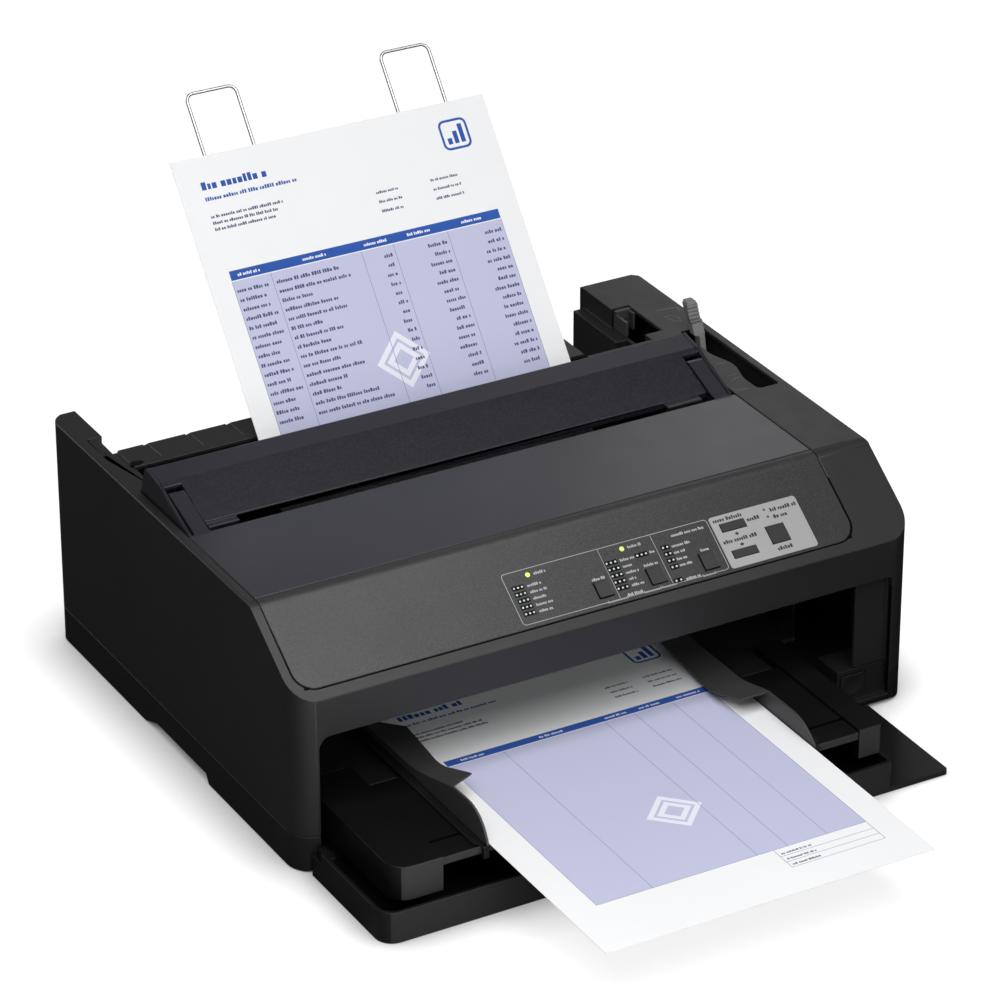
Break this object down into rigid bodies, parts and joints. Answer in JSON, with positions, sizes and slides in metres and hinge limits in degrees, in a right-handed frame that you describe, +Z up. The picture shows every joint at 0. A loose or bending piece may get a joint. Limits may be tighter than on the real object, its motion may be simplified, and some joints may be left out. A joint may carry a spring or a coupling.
{
  "type": "dot matrix printer",
  "caption": "Desk dot matrix printer with a sloped key panel, smoked hinged cover, front paper guide, rear sheet guide with wire supports and a working carriage and paper feed.",
  "frame": {"origin": "centre of the whole part's footprint, on the surface it stands on, with its sheets in place", "axes": "+X to the printer's right as seen by someone at its front, +Y to its rear, +Z up"},
  "size_m": [0.427, 0.5786, 0.3161],
  "materials": {
    "case_black": "fine texture, satin",
    "panel_grey": "fine texture, satin",
    "plate_grey": "matt printed plate",
    "key_black": "satin",
    "lens": "clear moulded",
    "cover_smoke": "smoked, semi gloss",
    "hump_smoke": "speckled",
    "board_green": "solder mask",
    "steel_sheet": "zinc plated",
    "steel_rod": "ground",
    "motor_black": "satin",
    "belt": "matt",
    "roller_rubber": "ground",
    "gear_white": "natural",
    "grey_plastic": "satin",
    "inner_black": "matt",
    "ribbon": "inked",
    "knob_blue": "satin",
    "supply_metal": "plated",
    "foot_rubber": "matt",
    "paper": "uncoated paper with a printed form",
    "wire": "drawn wire"
  },
  "bodies": {
    "printer": {"upper_case": "case_black", "lower_case": "case_black", "front_panel": "panel_grey", "key_plate": "plate_grey", "led_lenses": "lens", "control_board": "board_green", "hump_cover": "hump_smoke", "ear_bracket": "grey_plastic", "frame_left": "steel_sheet", "frame_right": "steel_sheet", "carriage_rod": "steel_rod", "carriage_rail": "steel_sheet", "carriage_motor": "motor_black", "pulley_bracket": "steel_sheet", "timing_belt": "belt", "feed_motor": "motor_black", "pressure_plate": "steel_sheet", "inner_front_guide": "inner_black", "paper_pan": "steel_sheet", "platen_bushes": "gear_white", "ribbon_cartridge": "inner_black", "ink_ribbon": "ribbon", "main_board": "board_green", "power_supply": "supply_metal", "interface_connectors": "steel_sheet", "ac_inlet": "inner_black", "rubber_feet": "foot_rubber", "case_screws": "steel_rod", "frame_screws": "steel_rod", "front_cover": "case_black", "front_guide_frame": "case_black"},
    "top_cover": {"top_cover": "cover_smoke"},
    "release_lever": {"release_lever": "grey_plastic"},
    "platen": {"platen_roller": "roller_rubber", "platen_shaft": "steel_rod", "platen_gear": "gear_white", "platen_knob": "case_black"},
    "idler_gear": {"idler_gear": "gear_white"},
    "feed_pinion": {"feed_pinion": "gear_white"},
    "pressure_rollers": {"pressure_rollers": "roller_rubber"},
    "carriage": {"carriage": "inner_black", "print_head": "motor_black"},
    "motor_pulley": {"motor_pulley": "gear_white"},
    "idler_pulley": {"idler_pulley": "gear_white"},
    "ribbon_knob": {"ribbon_knob": "knob_blue"},
    "sheet_guide": {"sheet_guide": "case_black"},
    "wire_left": {"wire_support_left": "wire"},
    "wire_right": {"wire_support_right": "wire"},
    "edge_left": {"edge_guide_left": "case_black"},
    "edge_right": {"edge_guide_right": "case_black"},
    "sheet_rear": {"sheet_rear": "paper"},
    "sheet_front": {"sheet_front": "paper"},
    "power_button": {"power_button": "key_black"},
    "load_key": {"load_key": "key_black"},
    "feed_key": {"feed_key": "key_black"},
    "pause_key": {"pause_key": "key_black"},
    "key_one": {"key_one": "key_black"},
    "key_two": {"key_two": "key_black"},
    "key_three": {"key_three": "key_black"}
  },
  "joints": [
    {"name": "cover_hinge", "type": "hinge", "parent": "printer", "child": "top_cover", "pos_m": [-0.0065, 0.0906, 0.156], "axis": [-1, 0, 0], "range_deg": [0, 95]},
    {"name": "lever_pivot", "type": "hinge", "parent": "printer", "child": "release_lever", "pos_m": [0.1855, 0.1161, 0.07], "axis": [1, 0, 0], "range_deg": [0, 28]},
    {"name": "guide_hinge", "type": "hinge", "parent": "printer", "child": "sheet_guide", "pos_m": [-0.0065, 0.1581, 0.1552], "axis": [-1, 0, 0], "range_deg": [0, 45]},
    {"name": "wire_left_slide", "type": "slide", "parent": "sheet_guide", "child": "wire_left", "axis": [0, 0.6266, 0.7793], "range_m": [-0.05, 0]},
    {"name": "wire_right_slide", "type": "slide", "parent": "sheet_guide", "child": "wire_right", "axis": [0, 0.6266, 0.7793], "range_m": [-0.05, 0]},
    {"name": "platen_spin", "type": "hinge", "parent": "printer", "child": "platen", "pos_m": [-0.0065, 0.0921, 0.11], "axis": [1, 0, 0], "continuous": true},
    {"name": "idler_spin", "type": "hinge", "parent": "printer", "child": "idler_gear", "pos_m": [-0.0065, 0.1071, 0.08402], "axis": [1, 0, 0], "continuous": true},
    {"name": "pinion_spin", "type": "hinge", "parent": "printer", "child": "feed_pinion", "pos_m": [-0.0065, 0.1071, 0.06602], "axis": [1, 0, 0], "continuous": true},
    {"name": "pressure_spin", "type": "hinge", "parent": "printer", "child": "pressure_rollers", "pos_m": [-0.0065, 0.0921, 0.0867], "axis": [1, 0, 0], "continuous": true},
    {"name": "carriage_slide", "type": "slide", "parent": "printer", "child": "carriage", "axis": [1, 0, 0], "range_m": [0, 0.23]},
    {"name": "motor_pulley_spin", "type": "hinge", "parent": "printer", "child": "motor_pulley", "pos_m": [-0.1665, 0.0301, 0.083], "axis": [0, 0, 1], "continuous": true},
    {"name": "idler_pulley_spin", "type": "hinge", "parent": "printer", "child": "idler_pulley", "pos_m": [0.1435, 0.0301, 0.083], "axis": [0, 0, 1], "continuous": true},
    {"name": "ribbon_knob_spin", "type": "hinge", "parent": "printer", "child": "ribbon_knob", "pos_m": [0.1115, 0.0181, 0.14], "axis": [0, 0, 1], "continuous": true},
    {"name": "edge_left_slide", "type": "slide", "parent": "printer", "child": "edge_left", "axis": [-1, 0, 0], "range_m": [0, 0.02]},
    {"name": "edge_right_slide", "type": "slide", "parent": "printer", "child": "edge_right", "axis": [1, 0, 0], "range_m": [0, 0.024]},
    {"name": "sheet_rear_feed", "type": "slide", "parent": "printer", "child": "sheet_rear", "axis": [0, 0.6266, 0.7793], "range_m": [0, 0.15]},
    {"name": "sheet_front_feed", "type": "slide", "parent": "printer", "child": "sheet_front", "axis": [0, -1, 0], "range_m": [0, 0.15]},
    {"name": "power_button_press", "type": "slide", "parent": "printer", "child": "power_button", "axis": [0, 1, 0], "range_m": [0, 0.0015], "stiffness_N_per_m": 300, "springref_m": -0.001},
    {"name": "load_key_press", "type": "slide", "parent": "printer", "child": "load_key", "axis": [0, 0.5736, -0.8192], "range_m": [0, 0.001], "stiffness_N_per_m": 300, "springref_m": -0.001},
    {"name": "feed_key_press", "type": "slide", "parent": "printer", "child": "feed_key", "axis": [0, 0.5736, -0.8192], "range_m": [0, 0.001], "stiffness_N_per_m": 300, "springref_m": -0.001},
    {"name": "pause_key_press", "type": "slide", "parent": "printer", "child": "pause_key", "axis": [0, 0.5736, -0.8192], "range_m": [0, 0.001], "stiffness_N_per_m": 300, "springref_m": -0.001},
    {"name": "key_one_press", "type": "slide", "parent": "printer", "child": "key_one", "axis": [0, 0.5736, -0.8192], "range_m": [0, 0.001], "stiffness_N_per_m": 300, "springref_m": -0.001},
    {"name": "key_two_press", "type": "slide", "parent": "printer", "child": "key_two", "axis": [0, 0.5736, -0.8192], "range_m": [0, 0.001], "stiffness_N_per_m": 300, "springref_m": -0.001},
    {"name": "key_three_press", "type": "slide", "parent": "printer", "child": "key_three", "axis": [0, 0.5736, -0.8192], "range_m": [0, 0.001], "stiffness_N_per_m": 300, "springref_m": -0.001}
  ],
  "couplings": [
    {"joint": "idler_spin", "follows": "platen_spin", "ratio": -1.5},
    {"joint": "pinion_spin", "follows": "platen_spin", "ratio": 3},
    {"joint": "pressure_spin", "follows": "platen_spin", "ratio": -2.2857},
    {"joint": "motor_pulley_spin", "follows": "carriage_slide", "rad_per_m": 125},
    {"joint": "idler_pulley_spin", "follows": "carriage_slide", "rad_per_m": 125}
  ]
}
